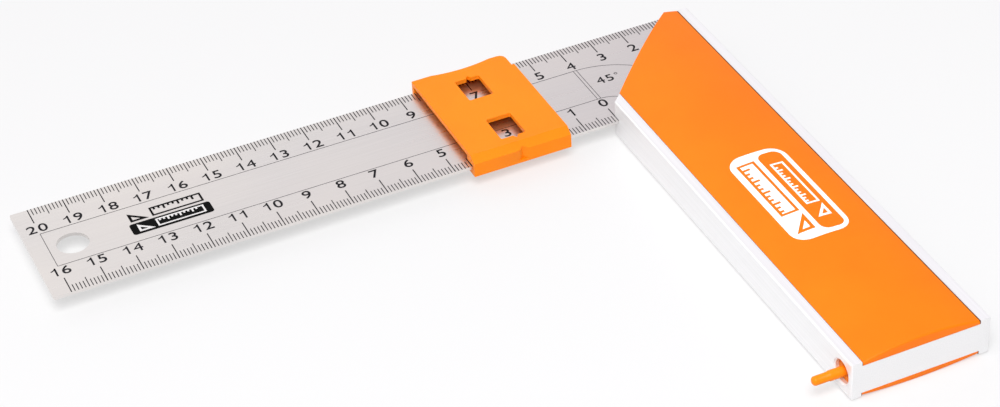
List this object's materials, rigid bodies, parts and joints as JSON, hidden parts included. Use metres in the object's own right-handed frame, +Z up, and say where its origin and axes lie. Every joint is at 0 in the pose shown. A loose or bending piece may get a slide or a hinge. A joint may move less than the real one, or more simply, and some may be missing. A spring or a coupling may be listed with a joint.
{
  "type": "combination square",
  "caption": "Square for carpentry: graduated steel blade in an aluminium stock with a mitre face, moulded covers, a slide gauge on the blade and a pull-out scriber.",
  "frame": {"origin": "middle of the whole square's box in plan, on the surface it lies on, which is the bottom cover's lowest line", "axes": "+X along the blade towards the stock's outer face, +Y from the scriber's end of the stock to its 45 degree tip, +Z up out of the blade's graduated face"},
  "size_m": [0.205, 0.1676, 0.0137],
  "materials": {
    "stock_aluminium": "fine satin anodised extrusion",
    "blade_steel": "stainless, brushed along its length, with dark etched graduations",
    "cover_plastic": "orange moulding, smooth with a soft gloss",
    "gauge_plastic": "orange moulding, smooth",
    "needle_steel": "hardened and ground",
    "rivet_aluminium": "set flush",
    "scale_ink": "dark etched graduations and numbers",
    "label_ink": "white pad-printed label"
  },
  "bodies": {
    "square": {"stock_body": "stock_aluminium", "blade": "blade_steel", "top_cover": "cover_plastic", "bottom_cover": "cover_plastic", "scriber_bush": "gauge_plastic", "blade_rivet_1": "rivet_aluminium", "blade_rivet_2": "rivet_aluminium", "blade_rivet_3": "rivet_aluminium"},
    "gauge": {"slide_gauge": "gauge_plastic"},
    "scriber": {"scriber_stem": "gauge_plastic", "scriber_needle": "needle_steel"}
  },
  "joints": [
    {"name": "gauge_slide", "type": "slide", "parent": "square", "child": "gauge", "axis": [1, 0, 0], "range_m": [-0.1195, 0.015]},
    {"name": "scriber_pull", "type": "slide", "parent": "square", "child": "scriber", "axis": [-1, 0, 0], "range_m": [0, 0.028]}
  ]
}
